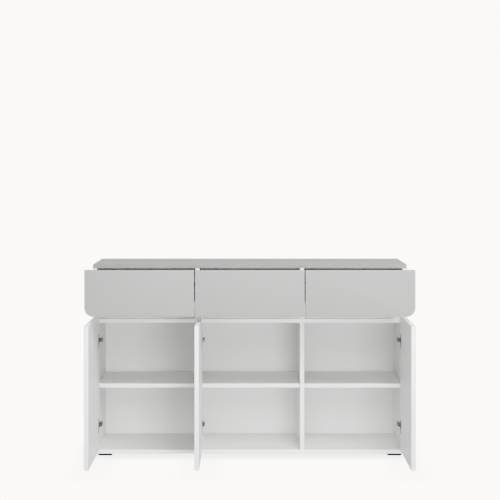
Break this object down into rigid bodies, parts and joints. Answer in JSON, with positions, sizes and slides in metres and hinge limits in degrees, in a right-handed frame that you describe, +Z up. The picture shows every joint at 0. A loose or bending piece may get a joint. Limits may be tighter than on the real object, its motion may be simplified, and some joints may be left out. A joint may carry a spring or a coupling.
{
  "type": "sideboard",
  "caption": "Low sideboard with hinged doors below a row of handleless drawers, shelves inside, on short plastic feet; doors stand open and drawers are drawn out.",
  "frame": {"origin": "on the floor under the middle of the cabinet's footprint, at the underside of the middle foot", "axes": "+X to the right of somebody facing the cabinet, +Y towards its back, +Z up"},
  "size_m": [1.4, 0.8938, 0.865],
  "materials": {
    "white_melamine": "white melamine-faced particle board, fine satin, wrapped edges",
    "grey_lacquer": "light grey matt foil on board",
    "drawer_board": "white foil-wrapped board, matt",
    "thin_board": "white-lacquered thin hardboard, matt",
    "nickelled_steel": "pressed steel, nickel-plated",
    "zinc": "die-cast, dull",
    "black_plastic": "moulded, matt",
    "beech": "bare, fluted"
  },
  "bodies": {
    "cabinet": {"top_board": "grey_lacquer", "side_left": "white_melamine", "side_right": "white_melamine", "bottom_panel": "white_melamine", "divider_panel": "white_melamine", "partition_left": "white_melamine", "partition_right": "white_melamine", "upper_partition_left": "white_melamine", "upper_partition_right": "white_melamine", "back_panel": "thin_board", "grip_rail_left": "white_melamine", "grip_rail_centre": "white_melamine", "grip_rail_right": "white_melamine", "shelf_left": "white_melamine", "shelf_centre": "white_melamine", "shelf_right": "white_melamine", "shelf_pins": "nickelled_steel", "corner_feet": "black_plastic", "middle_foot": "black_plastic", "foot_screws": "nickelled_steel", "hinge_plates": "nickelled_steel", "hinge_plate_screws": "nickelled_steel", "hinge_arms": "nickelled_steel", "runner_cabinet_members": "nickelled_steel", "wood_dowels": "beech", "cam_bolts": "nickelled_steel", "cam_locks": "zinc", "back_nails": "nickelled_steel"},
    "door_left": {"door_left": "white_melamine", "hinge_cups_left": "nickelled_steel", "cup_screws_left": "nickelled_steel"},
    "door_centre": {"door_centre": "white_melamine", "hinge_cups_centre": "nickelled_steel", "cup_screws_centre": "nickelled_steel"},
    "door_right": {"door_right": "white_melamine", "hinge_cups_right": "nickelled_steel", "cup_screws_right": "nickelled_steel"},
    "links_left": {"hinge_links_left": "nickelled_steel"},
    "links_centre": {"hinge_links_centre": "nickelled_steel"},
    "links_right": {"hinge_links_right": "nickelled_steel"},
    "drawer_left": {"drawer_front_left": "grey_lacquer", "drawer_sides_left": "drawer_board", "drawer_back_left": "drawer_board", "drawer_bottom_left": "thin_board", "runner_drawer_members_left": "nickelled_steel"},
    "drawer_centre": {"drawer_front_centre": "grey_lacquer", "drawer_sides_centre": "drawer_board", "drawer_back_centre": "drawer_board", "drawer_bottom_centre": "thin_board", "runner_drawer_members_centre": "nickelled_steel"},
    "drawer_right": {"drawer_front_right": "grey_lacquer", "drawer_sides_right": "drawer_board", "drawer_back_right": "drawer_board", "drawer_bottom_right": "thin_board", "runner_drawer_members_right": "nickelled_steel"},
    "runner_left": {"runner_middle_members_left": "nickelled_steel"},
    "runner_centre": {"runner_middle_members_centre": "nickelled_steel"},
    "runner_right": {"runner_middle_members_right": "nickelled_steel"}
  },
  "joints": [
    {"name": "door_left_hinge", "type": "hinge", "parent": "cabinet", "child": "door_left", "pos_m": [-0.6885, -0.231, 0.3375], "axis": [0, 0, -1], "range_deg": [-90, 5]},
    {"name": "door_centre_hinge", "type": "hinge", "parent": "cabinet", "child": "door_centre", "pos_m": [-0.22317, -0.2245, 0.3375], "axis": [0, 0, -1], "range_deg": [-90, 5]},
    {"name": "door_right_hinge", "type": "hinge", "parent": "cabinet", "child": "door_right", "pos_m": [0.6885, -0.231, 0.3375], "axis": [0, 0, 1], "range_deg": [-90, 5]},
    {"name": "links_left_turn", "type": "hinge", "parent": "cabinet", "child": "links_left", "pos_m": [-0.6645, -0.205, 0.3375], "axis": [0, 0, -1], "range_deg": [-3, 50.5]},
    {"name": "links_centre_turn", "type": "hinge", "parent": "cabinet", "child": "links_centre", "pos_m": [-0.20567, -0.2005, 0.3375], "axis": [0, 0, -1], "range_deg": [-3, 32.5]},
    {"name": "links_right_turn", "type": "hinge", "parent": "cabinet", "child": "links_right", "pos_m": [0.6645, -0.205, 0.3375], "axis": [0, 0, 1], "range_deg": [-3, 50.5]},
    {"name": "drawer_left_slide", "type": "slide", "parent": "cabinet", "child": "drawer_left", "axis": [0, -1, 0], "range_m": [-0.342, 0.006]},
    {"name": "drawer_centre_slide", "type": "slide", "parent": "cabinet", "child": "drawer_centre", "axis": [0, -1, 0], "range_m": [-0.342, 0.006]},
    {"name": "drawer_right_slide", "type": "slide", "parent": "cabinet", "child": "drawer_right", "axis": [0, -1, 0], "range_m": [-0.342, 0.006]},
    {"name": "runner_left_slide", "type": "slide", "parent": "cabinet", "child": "runner_left", "axis": [0, -1, 0], "range_m": [-0.1715, 0.0035]},
    {"name": "runner_centre_slide", "type": "slide", "parent": "cabinet", "child": "runner_centre", "axis": [0, -1, 0], "range_m": [-0.1715, 0.0035]},
    {"name": "runner_right_slide", "type": "slide", "parent": "cabinet", "child": "runner_right", "axis": [0, -1, 0], "range_m": [-0.1715, 0.0035]}
  ],
  "couplings": [
    {"joint": "links_left_turn", "follows": "door_left_hinge", "ratio": -0.55556},
    {"joint": "links_centre_turn", "follows": "door_centre_hinge", "ratio": -0.35556},
    {"joint": "links_right_turn", "follows": "door_right_hinge", "ratio": -0.55556},
    {"joint": "runner_left_slide", "follows": "drawer_left_slide", "ratio": 0.5},
    {"joint": "runner_centre_slide", "follows": "drawer_centre_slide", "ratio": 0.5},
    {"joint": "runner_right_slide", "follows": "drawer_right_slide", "ratio": 0.5}
  ]
}
